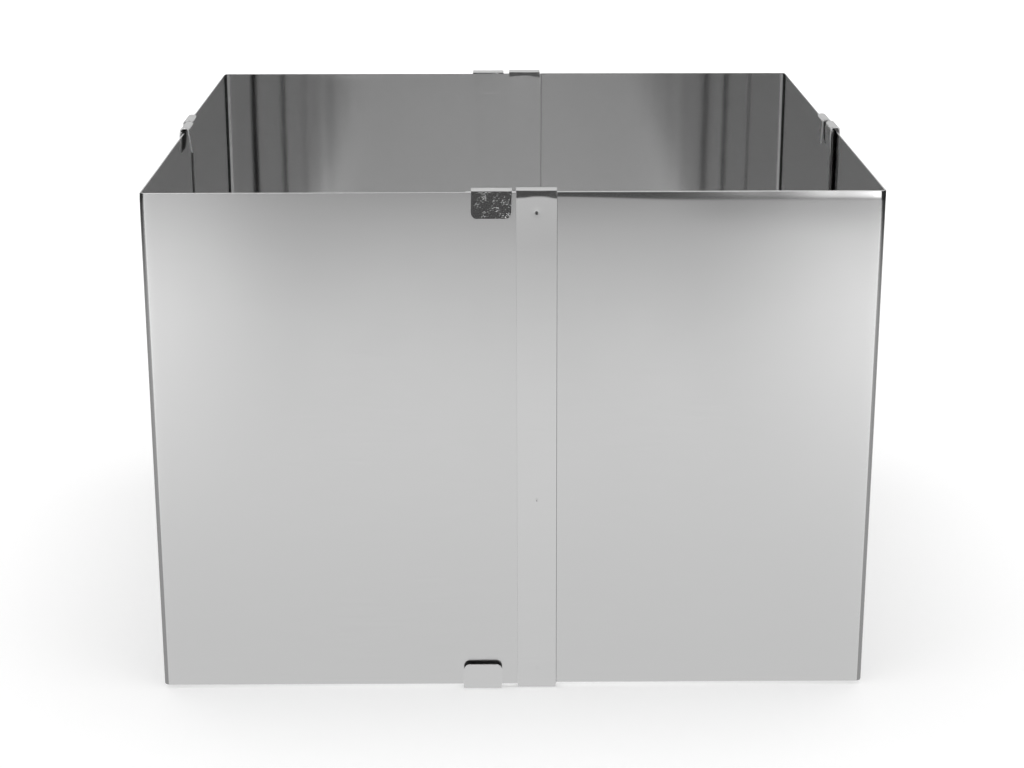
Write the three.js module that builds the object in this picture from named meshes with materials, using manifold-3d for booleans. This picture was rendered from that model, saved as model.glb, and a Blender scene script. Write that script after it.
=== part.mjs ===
// Adjustable square cake frame in millimetres, +Z up, standing on z = 0 and centred on the origin.
// Four bent corner sheets slide along each other in pairs. Hooked straps spot-welded near the free
// ends reach over both sheets of a wall, so they guide the sheets and stop them from pulling apart.

import * as THREE from 'three';
import Module from 'manifold-3d';
import { mergeVertices } from 'three/addons/utils/BufferGeometryUtils.js';

const wasm = await Module();
wasm.setup();

// Sheets
const frameSide = 280;            // outside width and depth at which the frame is set
const sheetHeight = 200;
const sheetThickness = 0.6;
const cornerRadius = 2.5;         // outside of the corner bend
const slideClearance = 0.6;       // between the two sheets of one wall

// Straps
const strapWidth = 15.2;
const strapThickness = 0.5;
const weldFit = 0.05;             // between a strap and the sheet that it is welded to
const closestStrapGap = 1.8;      // between the two straps of a wall where they stand closest
const outerStrapLean = 0.8;       // how far a foot stands out from below its top, over the sheet's height
const innerStrapLean = 1.8;
const crookedStrapLean = 4;       // one strap is welded on more crooked than the rest

// Hooks at both ends of a strap
const hookClearance = 1.2;        // between a hook's flap and the sheet that slides past it
const crestLand = 1.05;           // flat across the top of a hook
const crestRoom = 0.05;           // height that the hook leaves free before it bends
const flapReach = 9.5;            // from the sheet's edge to the flap's tip
const flapFlare = THREE.MathUtils.degToRad(8);
const flapCornerRadius = 2.5;

// Spot welds
const weldRadius = 1.2;
const weldDepth = 0.12;
const weldFromEdge = 7.5;         // from the top and bottom edges of the sheet
const lowerWeldHeight = 78.5;     // of the weld between them, above the sheet's bottom edge

const cutOverrun = 1;

// Facets on a quarter bend are twice the curve segments.
const bendSegments = 3;
const weldRings = 4;
const weldSides = 16;

// Sizes that follow
const stack = 2 * sheetThickness + slideClearance;
const hookGap = weldFit + stack + hookClearance;
const hookRadius = (hookGap - crestLand) / 2;
const hookOuterRadius = hookRadius + strapThickness;
const sheetBottom = hookOuterRadius + crestRoom;
const midHeight = sheetBottom + sheetHeight / 2;
const strapGap = closestStrapGap + (crookedStrapLean + outerStrapLean) / 2;
const armLength = (frameSide + strapGap) / 2 + strapWidth;
const wallPlane = -frameSide / 2;
const strapPlace = wallPlane + armLength - strapWidth / 2;

// Materials
const sheetSteel = new THREE.MeshStandardMaterial({ color: 0xc9cacb, metalness: 1, roughness: 0.22 });
const strapSteel = new THREE.MeshStandardMaterial({ color: 0xc4c5c6, metalness: 1, roughness: 0.18 });

const quarter = Math.PI / 2;

// A closed geometry as a solid that can be joined and cut
function toSolid(geometry) {
  const bare = geometry.clone();
  bare.deleteAttribute('normal');
  bare.deleteAttribute('uv');
  const merged = mergeVertices(bare);
  return new wasm.Manifold(new wasm.Mesh({
    numProp: 3,
    vertProperties: merged.attributes.position.array,
    triVerts: new Uint32Array(merged.index.array),
  }));
}

function toGeometry(solid) {
  const mesh = solid.getMesh();
  const geometry = new THREE.BufferGeometry();
  geometry.setAttribute('position', new THREE.BufferAttribute(new Float32Array(mesh.vertProperties), 3));
  geometry.setIndex(new THREE.BufferAttribute(new Uint32Array(mesh.triVerts), 1));
  geometry.computeVertexNormals();
  return geometry;
}

function extrude(shape, depth) {
  return new THREE.ExtrudeGeometry(shape, { depth, bevelEnabled: false, curveSegments: bendSegments });
}

// The front left sheet as seen from above: its front arm is the outer layer of the front wall, and its
// side arm the inner layer of the left wall.
function sheetGeometry() {
  const front = wallPlane;
  const side = wallPlane + sheetThickness + slideClearance;
  const armEnd = wallPlane + armLength;
  const bendX = side + cornerRadius;
  const bendY = front + cornerRadius;
  const outline = new THREE.Shape();
  outline.moveTo(bendX, front);
  outline.lineTo(armEnd, front);
  outline.lineTo(armEnd, front + sheetThickness);
  outline.absarc(bendX, bendY, cornerRadius - sheetThickness, -quarter, -2 * quarter, true);
  outline.lineTo(side + sheetThickness, armEnd);
  outline.lineTo(side, armEnd);
  outline.absarc(bendX, bendY, cornerRadius, 2 * quarter, 3 * quarter, false);
  return extrude(outline, sheetHeight).translate(0, 0, sheetBottom);
}

// The strap's side view, centred on its mid-height. Its web faces the sheet at 0, and the hooks bend
// over the wall towards +X, each with a flap that springs a little way out from it.
function strapProfile() {
  const bendHeight = sheetHeight / 2 + crestRoom;
  const nearBend = hookRadius;
  const farBend = hookGap - hookRadius;
  const flapTop = bendHeight + hookRadius * Math.sin(flapFlare);
  const flapLength = (flapTop - sheetHeight / 2 + flapReach) / Math.cos(flapFlare);
  const flapEnd = (radius) => new THREE.Vector2(
    farBend + radius * Math.cos(flapFlare) + flapLength * Math.sin(flapFlare),
    bendHeight + radius * Math.sin(flapFlare) - flapLength * Math.cos(flapFlare),
  );
  const tipOutside = flapEnd(hookOuterRadius);
  const tipInside = flapEnd(hookRadius);
  const profile = new THREE.Shape();
  profile.moveTo(-strapThickness, -bendHeight);
  profile.absarc(nearBend, bendHeight, hookOuterRadius, 2 * quarter, quarter, true);
  profile.absarc(farBend, bendHeight, hookOuterRadius, quarter, flapFlare, true);
  profile.lineTo(tipOutside.x, tipOutside.y);
  profile.lineTo(tipInside.x, tipInside.y);
  profile.absarc(farBend, bendHeight, hookRadius, flapFlare, quarter, false);
  profile.absarc(nearBend, bendHeight, hookRadius, quarter, 2 * quarter, false);
  profile.absarc(nearBend, -bendHeight, hookRadius, 2 * quarter, 3 * quarter, false);
  profile.absarc(farBend, -bendHeight, hookRadius, 3 * quarter, 4 * quarter - flapFlare, false);
  profile.lineTo(tipInside.x, -tipInside.y);
  profile.lineTo(tipOutside.x, -tipOutside.y);
  profile.absarc(farBend, -bendHeight, hookOuterRadius, -flapFlare, -quarter, true);
  profile.absarc(nearBend, -bendHeight, hookOuterRadius, -quarter, -2 * quarter, true);
  return { profile, tipHeight: tipOutside.y, tipReach: tipOutside.x };
}

// What rounds one corner of a flap: the corner of a square outside its fillet, cut through along Y
function flapCornerCutter(depth) {
  const corner = new THREE.Shape();
  corner.moveTo(-flapCornerRadius, -cutOverrun);
  corner.lineTo(cutOverrun, -cutOverrun);
  corner.lineTo(cutOverrun, flapCornerRadius);
  corner.absarc(-flapCornerRadius, flapCornerRadius, flapCornerRadius, 0, -quarter, true);
  return extrude(corner, depth).translate(0, 0, -depth / 2).rotateX(quarter);
}

// A shallow round dent, pressed along +Y into a face at y = 0
function weldDent() {
  const curve = [];
  for (let ring = 0; ring <= weldRings; ring += 1) {
    const reach = ring / weldRings;
    curve.push(new THREE.Vector2(weldRadius * reach, weldDepth * (1 - reach * reach)));
  }
  curve.push(new THREE.Vector2(weldRadius, -cutOverrun), new THREE.Vector2(0, -cutOverrun));
  return new THREE.LatheGeometry(curve.reverse(), weldSides);
}

// A strap with X along the wall, Y from its web towards its flaps, and its mid-height at z = 0
function strapGeometry(lean) {
  const { profile, tipHeight, tipReach } = strapProfile();
  const alongWidth = new THREE.Matrix4().makeBasis(
    new THREE.Vector3(0, 1, 0), new THREE.Vector3(0, 0, 1), new THREE.Vector3(1, 0, 0),
  );
  const band = extrude(profile, strapWidth).translate(0, 0, -strapWidth / 2).applyMatrix4(alongWidth);
  let strap = toSolid(band);

  const cutterDepth = tipReach - hookGap / 2 + cutOverrun;
  const cutterPlace = hookGap / 2 + cutterDepth / 2;
  for (const side of [1, -1]) {
    for (const end of [1, -1]) {
      const cutter = flapCornerCutter(cutterDepth);
      if (side < 0) cutter.rotateZ(2 * quarter);
      if (end < 0) cutter.rotateX(2 * quarter);
      cutter.translate(side * strapWidth / 2, cutterPlace, end * tipHeight);
      strap = strap.subtract(toSolid(cutter));
    }
  }

  const weldHeights = [
    weldFromEdge - sheetHeight / 2,
    lowerWeldHeight - sheetHeight / 2,
    sheetHeight / 2 - weldFromEdge,
  ];
  for (const height of weldHeights) {
    const dent = weldDent().translate(0, -strapThickness, height);
    strap = strap.subtract(toSolid(dent));
  }

  const slope = -lean / sheetHeight;
  return toGeometry(strap).applyMatrix4(new THREE.Matrix4().makeShear(0, 0, 0, 0, slope, 0));
}

function piece(name, geometry, material) {
  const mesh = new THREE.Mesh(geometry, material);
  mesh.name = name;
  return mesh;
}

// One corner of the frame in the front left place: its sheet, the strap outside the front arm's end and
// the strap inside the side arm's end
function corner({ sheet, outerStrap, innerStrap, innerLean }) {
  const group = new THREE.Group();
  group.add(piece(sheet, sheetGeometry(), sheetSteel));

  const outside = piece(outerStrap, strapGeometry(outerStrapLean), strapSteel);
  outside.position.set(strapPlace, wallPlane - weldFit, midHeight);
  group.add(outside);

  const inside = piece(innerStrap, strapGeometry(innerLean), strapSteel);
  inside.position.set(wallPlane + stack + weldFit, strapPlace, midHeight);
  inside.rotation.z = quarter;
  group.add(inside);
  return group;
}

// The four corners, counterclockwise from above
const corners = [
  { sheet: 'front_left_sheet', outerStrap: 'front_outer_strap', innerStrap: 'left_inner_strap',
    innerLean: innerStrapLean },
  { sheet: 'front_right_sheet', outerStrap: 'right_outer_strap', innerStrap: 'front_inner_strap',
    innerLean: crookedStrapLean },
  { sheet: 'back_right_sheet', outerStrap: 'back_outer_strap', innerStrap: 'right_inner_strap',
    innerLean: innerStrapLean },
  { sheet: 'back_left_sheet', outerStrap: 'left_outer_strap', innerStrap: 'back_inner_strap',
    innerLean: innerStrapLean },
];

const cakeFrame = new THREE.Group();
corners.forEach((parts, turn) => {
  const group = corner(parts);
  group.rotation.z = turn * quarter;
  cakeFrame.add(group);
});

export default cakeFrame;
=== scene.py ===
# Looks of the adjustable cake frame, in metres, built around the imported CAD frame.
import math

import bpy
from mathutils import Matrix, Vector, noise


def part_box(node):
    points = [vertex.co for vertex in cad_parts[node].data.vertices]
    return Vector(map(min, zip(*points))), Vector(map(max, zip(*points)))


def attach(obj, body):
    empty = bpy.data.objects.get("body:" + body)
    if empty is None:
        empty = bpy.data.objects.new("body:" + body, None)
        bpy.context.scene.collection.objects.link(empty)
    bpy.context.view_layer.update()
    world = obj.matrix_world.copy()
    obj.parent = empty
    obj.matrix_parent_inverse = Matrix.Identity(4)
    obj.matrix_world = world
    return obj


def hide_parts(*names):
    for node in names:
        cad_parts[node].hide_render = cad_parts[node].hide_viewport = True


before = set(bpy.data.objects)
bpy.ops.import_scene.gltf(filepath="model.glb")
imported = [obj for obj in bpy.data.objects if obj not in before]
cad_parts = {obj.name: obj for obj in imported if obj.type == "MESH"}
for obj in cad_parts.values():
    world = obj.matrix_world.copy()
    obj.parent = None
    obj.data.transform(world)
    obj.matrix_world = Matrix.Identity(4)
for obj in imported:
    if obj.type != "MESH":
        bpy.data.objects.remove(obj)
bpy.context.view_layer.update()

MM = 0.001
quarter = math.pi / 2

# Numbers of a piece's finishes, in the order in which it gets them
OUTSIDE, INSIDE, EDGE, GAP_SHADE, BEND_OUTSIDE, BEND_INSIDE = range(6)

# Sizes read from the CAD nodes
sheet_low, sheet_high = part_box("front_left_sheet")
wall = -sheet_low.y                      # from the centre to the outside of a wall
arm_end = sheet_high.x                   # free end of an arm
sheet_height = sheet_high.z - sheet_low.z
mid_height = (sheet_high.z + sheet_low.z) / 2
layer_step = sheet_low.x + wall          # from the outer sheet's face to the inner sheet's

# Sheet metal
sheet_thickness = 0.6 * MM
strap_thickness = 0.5 * MM
strap_width = 15.2 * MM
corner_radius = 2.5 * MM
weld_fit = 0.05 * MM
stack = layer_step + sheet_thickness
overlap = 2 * arm_end                    # of the two arms of a wall

# Hooks
hook_clearance = 1.2 * MM
crest_land = 1.05 * MM
crest_room = 0.05 * MM
flap_reach = 9.5 * MM
flap_corner_radius = 2.5 * MM
hook_gap = weld_fit + stack + hook_clearance
hook_radius = (hook_gap - crest_land) / 2
hook_middle = hook_radius + strap_thickness / 2
web_half = sheet_height / 2 + crest_room

# How far a strap's foot stands out from below its top
outer_lean = 0.8 * MM
inner_lean = 1.8 * MM
crooked_lean = 4 * MM
lean_reach = 20 * MM                     # of an outer arm's free end, which leans with its strap

# Spot welds: a small pit in a wide shallow dish
weld_from_edge = 7.5 * MM                # from the top and bottom edges of the sheet
lower_weld_height = 78.5 * MM            # of the weld between them, above the sheet's bottom edge
pit_radius = 0.8 * MM
pit_depth = 0.1 * MM
pit_floor = 0.2 * pit_radius             # within which the pit is at its deepest
burn_core = 0.5 * pit_radius             # within which it is at its darkest
dish_radius = 2.6 * MM
dish_depth = 0.018 * MM
weld_heights = (
    weld_from_edge - sheet_height / 2,
    lower_weld_height - sheet_height / 2,
    sheet_height / 2 - weld_from_edge,
)
outside_burns = (0.05, 0.1, 1.0)         # the top one was welded the hottest
inside_burns = (0.05, 0.1, 0.1)

# The web swells a little before it bends over, sooner towards its edges. Lengths are counted from where it
# bends.
swell = 0.25 * MM
swell_start = -20 * MM
swell_peak = -1.5 * MM
swell_end = 0.6 * MM
swell_droop = 0.5 * MM
swell_unevenness = 0.6                   # of the droop
swell_waves = 1.7                        # over half of the web's width

# A sheet's inner arm springs away from the outer one towards its free end
spring = 0.15 * MM
spring_length = 70 * MM

# An inner arm's top rim may be rolled in, higher and further towards the corner
roll_depth = 0.42 * MM
roll_height = 3 * MM
roll_start = 0.6                         # share of both that the roll has at the free end
roll_growth = (30 * MM, 90 * MM)         # distances from the free end between which it grows
roll_curl = 1.35

# The sheet leans in below the roll, most of all a little way before the corner
rim_lean = 0.4 * MM
rim_lean_height = 20 * MM
lean_start = 0.15
lean_gain = 0.9
lean_growth = (70 * MM, 115 * MM)
lean_loss = 0.2
lean_fading = (135 * MM, 155 * MM)
lean_curl = 3

# Thin sheet is never quite flat
warp_depth = 0.05 * MM
warp_length = 100 * MM
warp_height = 80 * MM

# What sets the unevenness of one piece apart from another's
sheet_seed = 3.7
strap_seed = 5.1
inside_seed = 2.3
top_seed = 7

# The outer straps stand a little way in from the free ends of their arms
strap_inset = 0.2 * MM

# The faces that lie on each other between the layers are rougher where they rub and dark with painted shade
# of the gaps, but for a margin by the other arm's free end
gap_shade_margin = 3.5 * MM
gap_shade_length = overlap - gap_shade_margin

# Between which turns of its normal, from 0 to 1, a bend carries a painted dark reflection outside
painted_dark_bend_outside = (0.25, 0.95)

# Wear of a strap's web. A flap's middle has a share of the flap's wear, and there is more of it towards one
# edge and less towards the other.
web_wear = 0.05
middle_wear = 0.7
slant_wear = 0.3

# Distances over which the raw edges go from a painted highlight to painted shade: from a sheet's rims, and
# down from a web's ends
rim_edge_light = 1 * MM
hook_edge_light = (14 * MM, 2 * MM)          # where none is left, and where all is

# Rounding of the raw edges
sheet_bevel = 0.24 * MM
strap_bevel = 0.22 * MM

# Spacing of the rows and columns of the meshes
arm_step = 3 * MM
bend_step = math.radians(5)
height_step = 4 * MM
end_reach = 8 * MM                       # of the finer rows at the ends of a web
end_step = 0.4 * MM
weld_row_step = 0.25 * MM
weld_column_reach = 1.4 * MM
weld_column_step = 0.2 * MM
column_step = 0.75 * MM
least_gap = 0.2 * MM
hook_step = math.radians(6)
flap_step = 0.7 * MM
flap_corner_step = math.radians(7.5)


def steps(low, high, size):
    """Evenly spaced values from low to high, no further apart than size."""
    slack = 1e-9                         # so that a rounding error adds no value
    count = max(1, math.ceil((high - low) / size - slack))
    return [low + (high - low) * i / count for i in range(count + 1)]


def smooth(value, start, end):
    """0 before start, 1 after end and a soft step between."""
    t = min(1.0, max(0.0, (value - start) / (end - start)))
    return t * t * (3 - 2 * t)


def closed_sheet(name, front, back, traits, finish_at):
    """A mesh between two grids of points, joined all round their borders by raw edges. Finish_at gives the
    numbers of the front and back faces' finishes at a row and column. Traits are named grids of values
    that the finishes read. The faces are wound to look into the metal, not out of it."""
    rows, columns = len(front), len(front[0])
    verts = [p for row in front for p in row] + [p for row in back for p in row]
    offset = rows * columns
    faces, finishes = [], []
    for r in range(rows - 1):
        for c in range(columns - 1):
            a, b = r * columns + c, r * columns + c + 1
            d, e = a + columns, b + columns
            faces.append((a, b, e, d))
            faces.append((offset + a, offset + d, offset + e, offset + b))
            finishes += finish_at(r, c)
    border = list(range(columns))
    border += [r * columns + columns - 1 for r in range(1, rows)]
    border += [(rows - 1) * columns + c for c in range(columns - 2, -1, -1)]
    border += [r * columns for r in range(rows - 2, 0, -1)]
    for a, b in zip(border, border[1:] + border[:1]):
        faces.append((b, a, offset + a, offset + b))
        finishes.append(EDGE)
    mesh = bpy.data.meshes.new(name)
    mesh.from_pydata(verts, [], faces)
    for polygon, finish in zip(mesh.polygons, finishes):
        polygon.use_smooth = True
        polygon.material_index = finish
    mesh.update()
    for trait, grid in traits.items():
        values = [value for row in grid for value in row] * 2
        mesh.attributes.new(trait, "FLOAT", "POINT").data.foreach_set("value", values)
    piece = bpy.data.objects.new(name, mesh)
    bpy.context.scene.collection.objects.link(piece)
    return piece


def finish_piece(piece, bevel, finishes, body, node):
    """Rounds a piece's raw edges, gives it its finishes and puts it on its body in a node's place."""
    edge = piece.modifiers.new("raw_edges", "BEVEL")
    edge.width = bevel
    edge.segments = 3
    edge.limit_method = "ANGLE"
    edge.angle_limit = math.radians(50)
    edge.harden_normals = True
    edge.material = EDGE
    for finish in finishes:
        piece.data.materials.append(finish)
    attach(piece, body)
    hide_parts(node)


# Sheets

def sprung(to_end):
    """How far the inner arm has sprung inwards at a distance from its free end."""
    return spring * max(0.0, 1 - to_end / spring_length) ** 2


def warp(x, y, z, seed):
    """How far a face stands off its true plane."""
    return warp_depth * noise.noise(Vector((x / warp_length + seed, y / warp_length, z / warp_height)))


def rim_roll(to_end, to_top):
    """How far an inner arm has rolled and leaned inwards at a distance below its top rim."""
    share = roll_start + (1 - roll_start) * smooth(to_end, *roll_growth)
    curl = max(0.0, 1 - to_top / (roll_height * share)) ** roll_curl
    lean = lean_start + lean_gain * smooth(to_end, *lean_growth) - lean_loss * smooth(to_end, *lean_fading)
    lean *= max(0.0, 1 - to_top / rim_lean_height) ** lean_curl
    return roll_depth * share * curl + rim_lean * lean


def sheet_line():
    """The outer face of the front left sheet from above: points, outward normals and the distance
    left to the inner arm's free end. The columns between its two arms are the bend's."""
    side = sheet_low.x
    bend_x, bend_y = side + corner_radius, -wall + corner_radius
    inward = steps(0, overlap, arm_step) + steps(overlap, arm_end - bend_y, arm_step)[1:]
    arm = [arm_end - d for d in inward]
    line = []
    for x in arm[:-1]:
        line.append((x, -wall, 0.0, -1.0, math.inf))
    for a in steps(0, quarter, bend_step):
        nx, ny = -math.sin(a), -math.cos(a)
        line.append((bend_x + corner_radius * nx, bend_y + corner_radius * ny, nx, ny, math.inf))
    for y in arm[-2::-1]:
        line.append((side, y, -1.0, 0.0, arm_end - y))
    return line


def sheet_heights():
    """Heights of a sheet's rows, closer together at its rims."""
    from_rim = [d * MM for d in (0, 0.3, 0.6, 0.9, 1.2, 1.5, 1.8, 2.1, 2.5, 3, 3.6, 4.4)]
    low = [sheet_low.z + d for d in from_rim]
    high = [sheet_high.z - d for d in from_rim[::-1]]
    return low + steps(low[-1], high[0], height_step)[1:-1] + high


def column_finishes(line, painted_dark_bend_inside):
    """The finishes of a sheet's outer and inner faces at each of its columns."""
    finishes = []
    for x, y, nx, ny, to_end in line:
        outside, inside = OUTSIDE, INSIDE
        # Parts of the bends get a painted dark reflection
        if painted_dark_bend_outside[0] < -nx < painted_dark_bend_outside[1]:
            outside = BEND_OUTSIDE
        if painted_dark_bend_inside[0] < -nx < painted_dark_bend_inside[1]:
            inside = BEND_INSIDE
        # Faces under the other arm, in the gap between the layers, get painted shade
        if to_end < gap_shade_length:
            outside = GAP_SHADE
        if arm_end - x < gap_shade_length:
            inside = GAP_SHADE
        finishes.append((outside, inside))
    return finishes


def build_sheet(name, turn, rolled, painted_dark_bend_inside, body):
    """The front left sheet turned to its corner. Rolled is how much its top rim is rolled in, and the
    argument after it gives the turns of its normal between which the bend inside carries a painted dark
    reflection."""
    spin = Matrix.Rotation(turn * quarter, 3, "Z")
    seed = sheet_seed * turn
    line = sheet_line()
    finish_of = column_finishes(line, painted_dark_bend_inside)
    outer, inner, edge_light = [], [], []
    for z in sheet_heights():
        outer_row, inner_row = [], []
        to_rim = min(z - sheet_low.z, sheet_high.z - z)
        # Painted highlight on the raw edges along the rims, painted shade on the rest of them
        edge_light.append([1 - smooth(to_rim, 0, rim_edge_light)] * len(line))
        for x, y, nx, ny, to_end in line:
            x -= outer_lean * (z - mid_height) / sheet_height * smooth(x, arm_end - lean_reach, arm_end)
            out = warp(x, y, z, seed)
            out -= sprung(to_end) + rolled * smooth(-nx, 0, 1) * rim_roll(to_end, sheet_high.z - z)
            outer_row.append(spin @ Vector((x + nx * out, y + ny * out, z)))
            out -= sheet_thickness
            inner_row.append(spin @ Vector((x + nx * out, y + ny * out, z)))
        outer.append(outer_row)
        inner.append(inner_row)
    piece = closed_sheet(name + "_steel", outer, inner, {"edge_light": edge_light}, lambda r, c: finish_of[c])
    finishes = (sheet_steel, sheet_inside_painted_light_steel, sheet_edge_steel, gap_shade_steel,
                bend_outside_painted_dark_steel, bend_inside_painted_dark_steel)
    finish_piece(piece, sheet_bevel, finishes, body, name)


# Straps

def web_heights():
    """Heights of the rows up a strap's web, closer together at its spot welds and ends. A band of rows
    clears its place of earlier ones, so the welds' come last."""
    rows = steps(-web_half, web_half, height_step)
    fine = [steps(-web_half, -web_half + end_reach, end_step)]
    fine.append(steps(web_half - end_reach, web_half, end_step))
    fine += [steps(h - dish_radius, h + dish_radius, weld_row_step) for h in weld_heights]
    for band in fine:
        rows = [h for h in rows if h < band[0] - least_gap or h > band[-1] + least_gap]
        rows += band
    return sorted(rows)


def strap_columns():
    """Shares of the half width at which a strap's columns stand, closer together at the welds."""
    half = strap_width / 2
    right = steps(0, weld_column_reach, weld_column_step) + steps(weld_column_reach, half, column_step)[1:]
    return [-c / half for c in right[:0:-1]] + [c / half for c in right]


def hook_line(flare):
    """A hook's middle line from the web's top, which is at height 0, to the flap's tip: how far across the
    wall, how high, the outward normal, the distance left to the tip and the length from the web. The last
    two are infinite where they make no difference."""
    far = hook_gap - hook_radius
    line = []
    for a in steps(0, quarter, hook_step)[1:]:
        nx, nz = -math.cos(a), math.sin(a)
        line.append((hook_radius + hook_middle * nx, hook_middle * nz, nx, nz, math.inf, hook_middle * a))
    for a in steps(0, quarter - flare, hook_step):
        nx, nz = math.sin(a), math.cos(a)
        line.append((far + hook_middle * nx, hook_middle * nz, nx, nz, math.inf, math.inf))
    across, height, nx, nz = line[-1][:4]
    length = (height + flap_reach + crest_room) / math.cos(flare)
    rounds = [flap_corner_radius * (1 - math.cos(a)) for a in steps(0, quarter, flap_corner_step)]
    rows = steps(0, length - flap_corner_radius, flap_step)[1:] + [length - d for d in rounds[::-1]][1:]
    for d in rows:
        u, v = across + d * math.sin(flare), height - d * math.cos(flare)
        line.append((u, v, nx, nz, length - d, math.inf))
    return line


def strap_line(foot_flare, top_flare):
    """The strap's middle line from the lower flap's tip to the upper one's."""
    lower = [(u, -web_half - v, nu, -nv, d, s) for u, v, nu, nv, d, s in hook_line(foot_flare)[::-1]]
    upper = [(u, web_half + v, nu, nv, d, s) for u, v, nu, nv, d, s in hook_line(top_flare)]
    web = []
    for h in web_heights():
        web.append((-strap_thickness / 2, h, -1.0, 0.0, math.inf, abs(h) - web_half))
    return lower + web + upper


def half_width(to_tip):
    """Half of the strap's width, drawn in round the corners of a flap's tip."""
    half = strap_width / 2
    if to_tip >= flap_corner_radius:
        return half
    rise = flap_corner_radius - to_tip
    return half - flap_corner_radius + math.sqrt(max(0.0, flap_corner_radius ** 2 - rise ** 2))


def weld_dent(along, height):
    """Depth of the spot welds' marks at a place on the web."""
    depth = 0.0
    for centre in weld_heights:
        away = math.hypot(along, height - centre)
        depth += pit_depth * (1 - smooth(away, pit_floor, pit_radius))
        depth += dish_depth * (1 - smooth(away, 0, dish_radius))
    return depth


def weld_burn(along, height, burns):
    """How dark the welding has left a place on the web."""
    darkest = 0.0
    for centre, burn in zip(weld_heights, burns):
        away = math.hypot(along, height - centre)
        darkest = max(darkest, burn * (1 - smooth(away, burn_core, pit_radius)))
    return darkest


def web_swell(share, length, seed):
    """How far the web stands out near a hook, length being measured from where it bends over."""
    if length == math.inf:
        return 0.0
    wave = noise.noise(Vector((share * swell_waves + seed, seed, 0.5)))
    length += swell_droop * (share * share + swell_unevenness * wave)
    if length > swell_peak:
        return swell * (1 - smooth(length, swell_peak, swell_end))
    rise = max(0.0, (length - swell_start) / (swell_peak - swell_start))
    return swell * rise ** 2


def build_strap(name, turn, inside, lean, flares, flap_wear, body):
    """The strap outside the front left sheet's front arm, or inside its side arm, turned to its corner.
    Flares, in degrees, and flap_wear are given for the foot's flap and the top's."""
    place = arm_end - strap_width / 2 - (0.0 if inside else strap_inset)
    if inside:
        set_in = Matrix.Translation((-wall + stack + weld_fit, place, mid_height))
        set_in = set_in @ Matrix.Rotation(quarter, 4, "Z")
    else:
        set_in = Matrix.Translation((place, -wall - weld_fit, mid_height))
    move = Matrix.Rotation(turn * quarter, 4, "Z") @ set_in
    seed = strap_seed * turn + inside_seed * inside
    columns = strap_columns()
    burns = inside_burns if inside else outside_burns
    outer, inner, wear, edge_light, burn, indoors = [], [], [], [], [], []
    for u, v, nu, nv, to_tip, length in strap_line(*[math.radians(a) for a in flares]):
        half = half_width(to_tip)
        on_flap = smooth(u, 0, hook_gap)
        # Faces inside the frame take the inside finish, which is lighter by painted light
        indoors.append(nu == -1.0 if inside else on_flap == 1.0)
        rubbed = [middle_wear + slant_wear * share for share in columns]
        wear.append([web_wear + (flap_wear[v > 0] * share - web_wear) * on_flap for share in rubbed])
        # Painted highlight on the raw edges of the hooks and flaps, fading into painted shade down the web
        near_hook = smooth(abs(v), web_half - hook_edge_light[0], web_half - hook_edge_light[1])
        edge_light.append([near_hook if length < math.inf else 1.0] * len(columns))
        burn.append([weld_burn(share * half, v, burns) if nu == -1.0 else 0.0 for share in columns[::-1]])
        outer_row, inner_row = [], []
        for share in columns:
            along = share * half
            shift = -sprung(strap_width / 2 - along) if inside else 0.0
            out = web_swell(share, length, seed + (top_seed if v > 0 else 0))
            dent = weld_dent(along, v) if nu == -1.0 else 0.0
            x = along - lean * v / sheet_height
            pushes = (out + strap_thickness / 2 - dent, out - strap_thickness / 2)
            for row, push in zip((outer_row, inner_row), pushes):
                row.append(move @ Vector((x, u + shift + nu * push, v + nv * push)))
        outer.append(outer_row[::-1])
        inner.append(inner_row[::-1])
    traits = {"wear": wear, "edge_light": edge_light, "burn": burn}
    # A strap's back face, on the sheet, gets painted shade of the gap
    piece = closed_sheet(name + "_steel", outer, inner, traits,
                         lambda r, c: (INSIDE if indoors[r] else OUTSIDE, GAP_SHADE))
    finishes = (strap_steel, strap_inside_painted_light_steel, strap_edge_steel, gap_shade_steel)
    finish_piece(piece, strap_bevel, finishes, body, name)


# Materials

# Marks in the steel, in waves or points a metre along X, Y and Z
grain_scale = (60, 60, 2500)
cloud_scale = (16, 16, 11)
pit_scale = 2100
patch_scale = (350, 350, 350)
scratch_scale = (300, 300, 3600)

# Between which values they go from none to all: noise in general, the distance to a pit's middle in shares
# of the pits' spacing, and the noises that gather the pits in patches and draw the scratches
noise_range = (0.3, 0.7)
pit_range = (0.4, 0.1)
patch_range = (0.4, 0.6)
scratch_range = (0.58, 0.8)

# How strongly they show
mark_depth = 0.04 * MM
scratch_strength = 0.15
grain_strength = 0.02
tone_spread = 0.006
roughness_spread = 0.1


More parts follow.
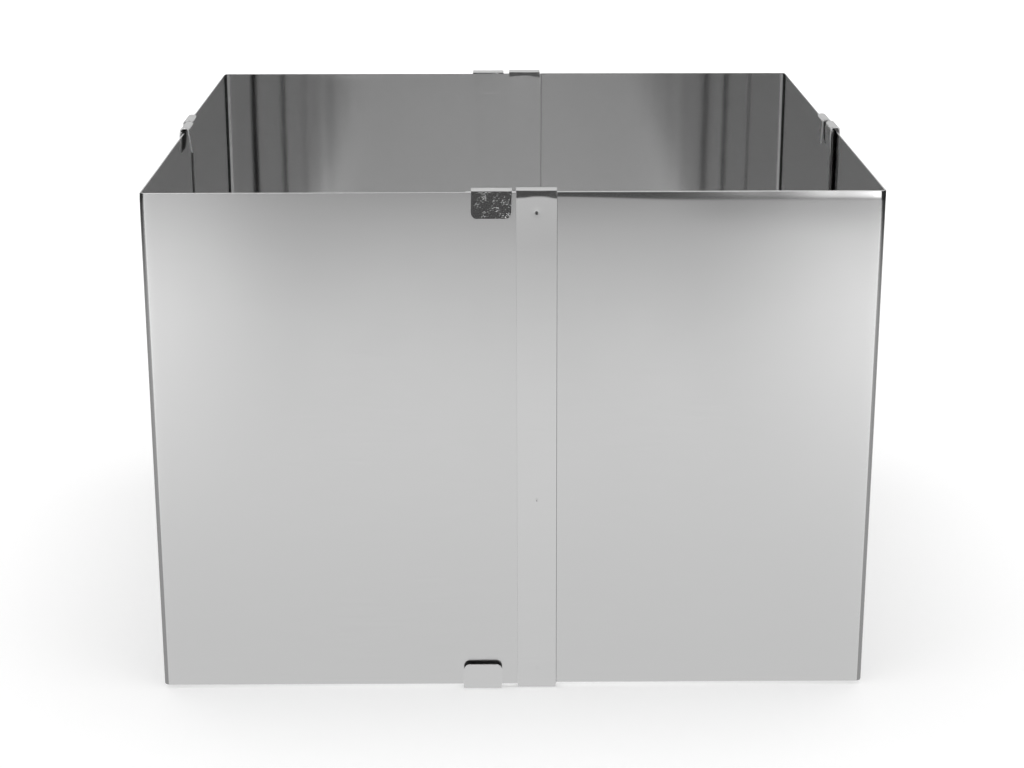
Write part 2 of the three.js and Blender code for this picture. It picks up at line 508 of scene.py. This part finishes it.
class Nodes:
    """Short calls for building a node tree."""

    def __init__(self, tree):
        self.nodes, self.links = tree.nodes, tree.links

    def add(self, kind, **values):
        node = self.nodes.new(kind)
        for name, value in values.items():
            setattr(node, name, value)
        return node

    def feed(self, socket, value):
        if isinstance(value, bpy.types.NodeSocket):
            self.links.new(value, socket)
        else:
            socket.default_value = value

    def math(self, operation, *values):
        node = self.add("ShaderNodeMath", operation=operation)
        for socket, value in zip(node.inputs, values):
            self.feed(socket, value)
        return node.outputs[0]

    def ramp(self, value, start, end, low=0.0, high=1.0, soft=False):
        node = self.add("ShaderNodeMapRange", interpolation_type="SMOOTHSTEP" if soft else "LINEAR")
        for name, given in zip(("Value", "From Min", "From Max", "To Min", "To Max"),
                               (value, start, end, low, high)):
            self.feed(node.inputs[name], given)
        return node.outputs["Result"]

    def noise(self, place, scale, detail=2.0):
        """Noise over a place stretched by scale, three numbers per metre."""
        stretch = self.add("ShaderNodeMapping")
        stretch.inputs["Scale"].default_value = scale
        self.links.new(place, stretch.inputs["Vector"])
        field = self.add("ShaderNodeTexNoise")
        field.inputs["Scale"].default_value = 1.0
        field.inputs["Detail"].default_value = detail
        self.links.new(stretch.outputs["Vector"], field.inputs["Vector"])
        return field.outputs["Fac"]

    def pits(self, place, scale):
        """Distance to the nearest of scattered points, in shares of their spacing, scale points a metre."""
        field = self.add("ShaderNodeTexVoronoi")
        field.inputs["Scale"].default_value = scale
        self.links.new(place, field.inputs["Vector"])
        return field.outputs["Distance"]

    def grey(self, value):
        node = self.add("ShaderNodeCombineColor")
        for channel in ("Red", "Green", "Blue"):
            self.feed(node.inputs[channel], value)
        return node.outputs["Color"]


def steel(name, tone, roughness, anisotropy, marks=None, grazing=0.8):
    """Bright stainless whose fine level grain spreads reflections up and down. Its tone is one number, or
    a trait of the mesh and the tones that it has where that is 0 and 1. Marks is the strength of its pits
    and scratches, or None where the mesh's own wear sets it. Grazing dims it where it is seen along its
    surface."""
    material = bpy.data.materials.new(name)
    material.use_nodes = True
    tree = Nodes(material.node_tree)
    shader = tree.nodes["Principled BSDF"]
    shader.inputs["Metallic"].default_value = 1.0
    shader.inputs["Anisotropic"].default_value = anisotropy
    shader.inputs["Specular Tint"].default_value = (grazing, grazing, grazing, 1.0)
    place = tree.add("ShaderNodeTexCoord").outputs["Object"]

    grain = tree.noise(place, grain_scale, detail=3.0)
    cloud = tree.noise(place, cloud_scale, detail=4.0)
    smoothest, roughest = roughness * (1 - roughness_spread), roughness * (1 + roughness_spread)
    tree.feed(shader.inputs["Roughness"], tree.ramp(cloud, *noise_range, smoothest, roughest))
    shade = tree.math("ADD", tree.ramp(grain, *noise_range, -tone_spread, tone_spread),
                      tree.ramp(cloud, *noise_range, -tone_spread, tone_spread))
    if isinstance(tone, tuple):
        trait = tree.add("ShaderNodeAttribute", attribute_name=tone[0]).outputs["Fac"]
        tone = tree.ramp(trait, 0.0, 1.0, tone[1], tone[2])
    tree.feed(shader.inputs["Base Color"], tree.grey(tree.math("ADD", shade, tone)))

    upright = tree.add("ShaderNodeCombineXYZ")
    upright.inputs["Z"].default_value = 1.0
    tree.feed(shader.inputs["Tangent"], upright.outputs["Vector"])

    if marks is None:
        marks = tree.add("ShaderNodeAttribute", attribute_name="wear").outputs["Fac"]
    pits = tree.ramp(tree.pits(place, pit_scale), *pit_range, soft=True)
    patches = tree.ramp(tree.noise(place, patch_scale), *patch_range)
    scratches = tree.ramp(tree.noise(place, scratch_scale), *scratch_range, 0.0, scratch_strength)
    worn = tree.math("ADD", tree.math("MULTIPLY", pits, patches), scratches)
    height = tree.math("MULTIPLY_ADD", worn, marks, tree.math("MULTIPLY", grain, grain_strength))
    bump = tree.add("ShaderNodeBump")
    bump.inputs["Distance"].default_value = mark_depth
    tree.feed(bump.inputs["Height"], height)
    tree.feed(shader.inputs["Normal"], bump.outputs["Normal"])
    return material


sheet_steel = steel("sheet_steel", tone=0.70, roughness=0.15, anisotropy=0.9, marks=0.02)
# Faces inside the frame are lighter face-on and dimmer seen along the surface than those outside: painted
# light and shade for the light between the walls
sheet_inside_painted_light_steel = steel("sheet_inside_painted_light_steel", tone=0.95, roughness=0.09, anisotropy=1.0, marks=0.02,
                           grazing=0.5)
# Sheet raw edges, light and dark by a trait of the mesh: a painted highlight and painted shade
sheet_edge_steel = steel("sheet_edge_steel", tone=("edge_light", 0.25, 0.95), roughness=0.2, anisotropy=0.0,
                         marks=0.1)
# Bends: a dark tone that is a painted dark reflection along the corners
bend_outside_painted_dark_steel = steel("bend_painted_dark_steel", tone=0.36, roughness=0.2, anisotropy=0.0, marks=0.05)
bend_inside_painted_dark_steel = steel("bend_inside_painted_dark_steel", tone=0.12, roughness=0.25, anisotropy=0.0, marks=0.05)
strap_steel = steel("strap_steel", tone=("burn", 0.72, 0.12), roughness=0.15, anisotropy=0.9)
# Strap faces inside the frame carry the same painted light as the sheets' inside faces
strap_inside_painted_light_steel = steel("strap_inside_painted_light_steel", tone=("burn", 0.96, 0.15), roughness=0.09, anisotropy=1.0,
                           grazing=0.5)
# Strap raw edges, light and dark by a trait of the mesh: a painted highlight and painted shade
strap_edge_steel = steel("strap_edge_steel", tone=("edge_light", 0.35, 1.0), roughness=0.55, anisotropy=0.0,
                         marks=0.1)
# Faces between the layers: rough rubbed steel whose dark tone is painted shade of the gaps
gap_shade_steel = steel("gap_shade_steel", tone=0.2, roughness=0.35, anisotropy=0.0, marks=0.3)

# The four corners, counterclockwise from above. Flares, in degrees, and wear are those of a strap's flaps at
# its foot and top.
corners = [
    {"corner": "front_left", "rolled": 0.3, "painted_dark_bend_inside": (0.25, 0.95),
     "outside": {"name": "front_outer_strap", "lean": outer_lean, "flares": (5, 4), "flap_wear": (0.3, 0.3)},
     "inside": {"name": "left_inner_strap", "lean": inner_lean, "flares": (5, 6), "flap_wear": (0.3, 0.3)}},
    {"corner": "front_right", "rolled": 1.0, "painted_dark_bend_inside": (0.25, 0.95),
     "outside": {"name": "right_outer_strap", "lean": outer_lean, "flares": (5, 2), "flap_wear": (0.3, 0.3)},
     "inside": {"name": "front_inner_strap", "lean": crooked_lean, "flares": (6, 7.5),
                "flap_wear": (0.1, 0.75)}},
    {"corner": "back_right", "rolled": 0.2, "painted_dark_bend_inside": (0.6, 0.99),
     "outside": {"name": "back_outer_strap", "lean": outer_lean, "flares": (4, 1.5), "flap_wear": (0.3, 0.4)},
     "inside": {"name": "right_inner_strap", "lean": inner_lean, "flares": (5, 4), "flap_wear": (0.3, 0.3)}},
    {"corner": "back_left", "rolled": 0.1, "painted_dark_bend_inside": (0.05, 0.75),
     "outside": {"name": "left_outer_strap", "lean": outer_lean, "flares": (5, 6), "flap_wear": (0.3, 0.3)},
     "inside": {"name": "back_inner_strap", "lean": inner_lean, "flares": (5, 5), "flap_wear": (0.3, 0.3)}},
]
for turn, parts in enumerate(corners):
    body = parts["corner"] + "_corner"
    build_sheet(parts["corner"] + "_sheet", turn, parts["rolled"], parts["painted_dark_bend_inside"], body)
    build_strap(turn=turn, inside=False, body=body, **parts["outside"])
    build_strap(turn=turn, inside=True, body=body, **parts["inside"])


# Studio: pale floor, white backdrop, a soft light overhead and dark space behind the camera

# The table that the steel mirrors, a brightness painted on the floor that only reflections see: distances
# from the frame's centre, and how bright it is there
table_rise = (0.108, 0.848)              # in front and behind
table_glow = (0.777, 1.341)
painted_shadow_rise = (0.016, 1.234)              # in front, where a painted shadow of a stand that isn't there darkens the table's middle
painted_shadow_depth = 0.528
painted_shadow_sides = (0.122, 0.293)
frame_edge = (0.12, 0.15)
inside_painted_shade = 0.38                       # painted shade of the floor within the walls
table_sides = (0.76, 0.97)
past_table = 0.04
table_front = (0.927, 1.368)             # straight in front of the frame
front_aside = (0.9, 1.0)                 # and to its sides
past_front_aside = 0.34
off_axis_range = (0.13, 0.19)            # between the two, in metres aside for each metre ahead

# The floor's paper as the camera sees it, which runs into the white of the backdrop
paper_tone = 0.8
paper_fade = (0.3, 1.6)
paper_fill = (0.38, 0.95)

# What the steel mirrors above the floor, by the X, Y and Z of a direction
overhead_rise = (0.55, 0.85)
backdrop_rise = (0.35, 0.75)
studio_dark = 0.1
panel_glow = 1.4                         # of a pale panel on each side of the camera
panel_near = (0.132, 0.192)              # its sides, in metres aside for each metre towards the camera
panel_far = (0.5, 0.7)
panel_rise = (0.0, 0.16)
panel_gain = (0.45, 2.0)
panel_top = (0.4, 0.55)
fill_light = 0.5                         # from all round on what doesn't mirror

# These keep divisions from being by zero
least_ahead = 0.01
least_towards = 0.001


def studio_floor():
    reach = 6.0
    mesh = bpy.data.meshes.new("floor")
    mesh.from_pydata([(-reach, -reach, 0), (reach, -reach, 0), (reach, reach, 0), (-reach, reach, 0)],
                     [], [(0, 1, 2, 3)])
    floor = bpy.data.objects.new("floor", mesh)
    bpy.context.scene.collection.objects.link(floor)

    material = bpy.data.materials.new("floor_paper")
    material.use_nodes = True
    tree = Nodes(material.node_tree)
    tree.nodes.clear()
    path = tree.add("ShaderNodeLightPath").outputs
    place = tree.add("ShaderNodeSeparateXYZ")
    tree.feed(place.inputs["Vector"], tree.add("ShaderNodeTexCoord").outputs["Object"])
    x, y = place.outputs["X"], place.outputs["Y"]
    aside = tree.math("ABSOLUTE", x)
    ahead = tree.math("MULTIPLY", y, -1.0)

    # What the steel mirrors, painted on the floor as a glow that only reflections see: a pale table that ends
    # on both sides
    #     and in front, with a painted shadow of a stand over its middle. Rays that have bounced between the
    #     walls meet painted shade on the floor inside them.
    along = tree.math("ABSOLUTE", y)
    mirrored = tree.ramp(along, *table_rise, *table_glow, soft=True)
    depth = tree.ramp(ahead, *painted_shadow_rise, 0.0, painted_shadow_depth, soft=True)
    middle = tree.ramp(aside, *painted_shadow_sides, 1.0, 0.0, soft=True)
    shaded = tree.math("SUBTRACT", 1.0, tree.math("MULTIPLY", depth, middle))
    within = tree.ramp(tree.math("MAXIMUM", aside, along), *frame_edge, inside_painted_shade, 1.0, soft=True)
    first_bounce = tree.ramp(path["Glossy Depth"], 1.0, 2.0, 1.0, 0.0)
    inside = tree.math("MAXIMUM", first_bounce, within)
    mirrored = tree.math("MULTIPLY", mirrored, tree.math("MULTIPLY", shaded, inside))
    off_axis = tree.math("DIVIDE", aside, tree.math("MAXIMUM", ahead, least_ahead))
    ends = tree.ramp(off_axis, *off_axis_range, tree.ramp(ahead, *table_front, 1.0, past_table, soft=True),
                     tree.ramp(ahead, *front_aside, 1.0, past_front_aside, soft=True))
    mirrored = tree.math("MULTIPLY", mirrored, ends)
    mirrored = tree.math("MULTIPLY", mirrored, tree.ramp(aside, *table_sides, 1.0, past_table, soft=True))
    painted_reflection_glow = tree.add("ShaderNodeEmission")
    tree.feed(painted_reflection_glow.inputs["Strength"], mirrored)

    # Seen by the camera the paper keeps the shadow
    paper = tree.add("ShaderNodeBsdfDiffuse")
    paper.inputs["Color"].default_value = (paper_tone, paper_tone, paper_tone, 1.0)
    apart = tree.math("SQRT", tree.math("ADD", tree.math("POWER", x, 2.0), tree.math("POWER", y, 2.0)))
    seen = tree.math("MAXIMUM", path["Is Camera Ray"], path["Is Transmission Ray"])
    fill = tree.add("ShaderNodeEmission")
    fading = tree.ramp(apart, *paper_fade, *paper_fill)
    tree.feed(fill.inputs["Strength"], tree.math("MULTIPLY", seen, fading))
    both = tree.add("ShaderNodeAddShader")
    tree.feed(both.inputs[0], paper.outputs["BSDF"])
    tree.feed(both.inputs[1], fill.outputs["Emission"])

    pick = tree.add("ShaderNodeMixShader")
    tree.feed(pick.inputs[0], path["Is Glossy Ray"])
    tree.feed(pick.inputs[1], both.outputs["Shader"])
    tree.feed(pick.inputs[2], painted_reflection_glow.outputs["Emission"])
    tree.feed(tree.add("ShaderNodeOutputMaterial").inputs["Surface"], pick.outputs["Shader"])
    mesh.materials.append(material)


def studio_world():
    world = bpy.data.worlds.new("studio")
    bpy.context.scene.world = world
    world.use_nodes = True
    tree = Nodes(world.node_tree)
    tree.nodes.clear()
    path = tree.add("ShaderNodeLightPath").outputs
    way = tree.add("ShaderNodeSeparateXYZ")
    tree.feed(way.inputs["Vector"], tree.add("ShaderNodeTexCoord").outputs["Generated"])
    rise = way.outputs["Z"]
    overhead = tree.ramp(rise, *overhead_rise, soft=True)
    backdrop = tree.ramp(way.outputs["Y"], *backdrop_rise, soft=True)
    towards = tree.math("MAXIMUM", tree.math("MULTIPLY", way.outputs["Y"], -1.0), least_towards)
    aside = tree.math("DIVIDE", tree.math("ABSOLUTE", way.outputs["X"]), towards)
    panel = tree.ramp(aside, *panel_near, 0.0, panel_glow, soft=True)
    panel = tree.math("MULTIPLY", panel, tree.ramp(aside, *panel_far, 1.0, 0.0, soft=True))
    panel = tree.math("MULTIPLY", panel, tree.ramp(rise, *panel_rise, *panel_gain))
    panel = tree.math("MULTIPLY", panel, tree.ramp(rise, *panel_top, 1.0, 0.0, soft=True))
    studio = tree.math("MAXIMUM", tree.math("MAXIMUM", overhead, backdrop),
                       tree.math("MAXIMUM", panel, studio_dark))
    mirror = path["Is Glossy Ray"]
    seen = tree.math("MAXIMUM", path["Is Camera Ray"], path["Is Transmission Ray"])
    plain = tree.ramp(seen, 0.0, 1.0, fill_light, 1.0)
    strength = tree.math("ADD", tree.math("MULTIPLY", studio, mirror),
                         tree.math("MULTIPLY", plain, tree.math("SUBTRACT", 1.0, mirror)))
    background = tree.add("ShaderNodeBackground")
    tree.feed(background.inputs["Strength"], strength)
    tree.feed(tree.add("ShaderNodeOutputWorld").inputs["Surface"], background.outputs["Background"])


def studio_lamp():
    lamp = bpy.data.lights.new("overhead", "AREA")
    lamp.shape = "RECTANGLE"
    lamp.size, lamp.size_y = 1.8, 1.8
    lamp.energy = 22.0
    light = bpy.data.objects.new("overhead", lamp)
    light.location = (0.0, 0.0, 1.9)
    light.visible_glossy = False
    bpy.context.scene.collection.objects.link(light)


def studio_camera():
    data = bpy.data.cameras.new("camera")
    data.sensor_width = 36.0
    data.lens = 74.77
    data.clip_start = 0.01
    camera = bpy.data.objects.new("camera", data)
    camera.location = (-0.0075, -0.9155, 0.3693)
    camera.rotation_euler = (math.radians(90 - 17.35), 0.0, math.radians(-0.552))
    bpy.context.scene.collection.objects.link(camera)
    bpy.context.scene.camera = camera


studio_floor()
studio_world()
studio_lamp()
studio_camera()

# Light finds its way down between the facing walls by many reflections
bpy.context.scene.cycles.max_bounces = 24
bpy.context.scene.cycles.glossy_bounces = 20
bpy.context.scene.view_settings.view_transform = "Standard"
